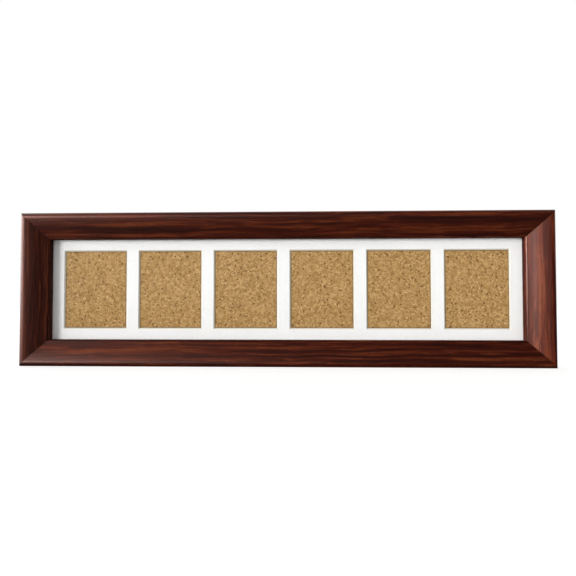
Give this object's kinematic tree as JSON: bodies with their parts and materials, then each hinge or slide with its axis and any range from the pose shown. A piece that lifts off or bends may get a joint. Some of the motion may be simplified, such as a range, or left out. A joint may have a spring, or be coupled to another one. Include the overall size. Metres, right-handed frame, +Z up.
{
  "type": "collage photo frame",
  "caption": "Long wooden wall frame with a mat that shows a row of prints behind glass, turn buttons that hold its back in, and D-rings to hang it.",
  "frame": {"origin": "middle of the bottom edge, half way between the front crest and the back of the bumpers", "axes": "+X along the frame to the right as seen from the front, +Y from the front to the wall, +Z up"},
  "size_m": [0.6966, 0.0328, 0.2025],
  "materials": {
    "wood": "dark red-brown stain under satin lacquer",
    "glass": "clear, polished",
    "mat_board": "matte white with cream cut edges",
    "fibreboard": "thin brown fibreboard, its front face faced with fine granulated cork",
    "nail_steel": "bright steel, flush",
    "button_steel": "zinc plated",
    "screw_steel": "zinc plated",
    "hanger_steel": "nickel plated",
    "bumper_rubber": "matte black"
  },
  "bodies": {
    "frame": {"top_rail": "wood", "bottom_rail": "wood", "left_rail": "wood", "right_rail": "wood", "glass": "glass", "window_mat": "mat_board", "back_panel": "fibreboard", "corner_nails_top_left": "nail_steel", "corner_nails_top_right": "nail_steel", "corner_nails_bottom_left": "nail_steel", "corner_nails_bottom_right": "nail_steel", "turn_button_screws": "screw_steel", "hanger_screws": "screw_steel", "hanger_strap_left": "hanger_steel", "hanger_strap_right": "hanger_steel", "wall_bumper_top_left": "bumper_rubber", "wall_bumper_top_right": "bumper_rubber", "wall_bumper_bottom_left": "bumper_rubber", "wall_bumper_bottom_right": "bumper_rubber"},
    "turn_button_top_left": {"turn_button_top_left": "button_steel"},
    "turn_button_top_middle": {"turn_button_top_middle": "button_steel"},
    "turn_button_top_right": {"turn_button_top_right": "button_steel"},
    "turn_button_bottom_left": {"turn_button_bottom_left": "button_steel"},
    "turn_button_bottom_middle": {"turn_button_bottom_middle": "button_steel"},
    "turn_button_bottom_right": {"turn_button_bottom_right": "button_steel"},
    "turn_button_left_end": {"turn_button_left_end": "button_steel"},
    "turn_button_right_end": {"turn_button_right_end": "button_steel"},
    "hanger_ring_left": {"hanger_ring_left": "hanger_steel"},
    "hanger_ring_right": {"hanger_ring_right": "hanger_steel"}
  },
  "joints": [
    {"name": "turn_button_top_left_turn", "type": "hinge", "parent": "frame", "child": "turn_button_top_left", "pos_m": [-0.22984, 0.0127, 0.1825], "axis": [0, 1, 0], "continuous": true},
    {"name": "turn_button_top_middle_turn", "type": "hinge", "parent": "frame", "child": "turn_button_top_middle", "pos_m": [0, 0.0127, 0.1825], "axis": [0, 1, 0], "continuous": true},
    {"name": "turn_button_top_right_turn", "type": "hinge", "parent": "frame", "child": "turn_button_top_right", "pos_m": [0.22984, 0.0127, 0.1825], "axis": [0, 1, 0], "continuous": true},
    {"name": "turn_button_bottom_left_turn", "type": "hinge", "parent": "frame", "child": "turn_button_bottom_left", "pos_m": [-0.22984, 0.0127, 0.02], "axis": [0, 1, 0], "continuous": true},
    {"name": "turn_button_bottom_middle_turn", "type": "hinge", "parent": "frame", "child": "turn_button_bottom_middle", "pos_m": [0, 0.0127, 0.02], "axis": [0, 1, 0], "continuous": true},
    {"name": "turn_button_bottom_right_turn", "type": "hinge", "parent": "frame", "child": "turn_button_bottom_right", "pos_m": [0.22984, 0.0127, 0.02], "axis": [0, 1, 0], "continuous": true},
    {"name": "turn_button_left_end_turn", "type": "hinge", "parent": "frame", "child": "turn_button_left_end", "pos_m": [-0.32825, 0.0127, 0.10125], "axis": [0, 1, 0], "continuous": true},
    {"name": "turn_button_right_end_turn", "type": "hinge", "parent": "frame", "child": "turn_button_right_end", "pos_m": [0.32825, 0.0127, 0.10125], "axis": [0, 1, 0], "continuous": true},
    {"name": "hanger_ring_left_swing", "type": "hinge", "parent": "frame", "child": "hanger_ring_left", "pos_m": [-0.33425, 0.01385, 0.1605], "axis": [1, 0, 0], "range_deg": [0, 175]},
    {"name": "hanger_ring_right_swing", "type": "hinge", "parent": "frame", "child": "hanger_ring_right", "pos_m": [0.33425, 0.01385, 0.1605], "axis": [1, 0, 0], "range_deg": [0, 175]}
  ]
}
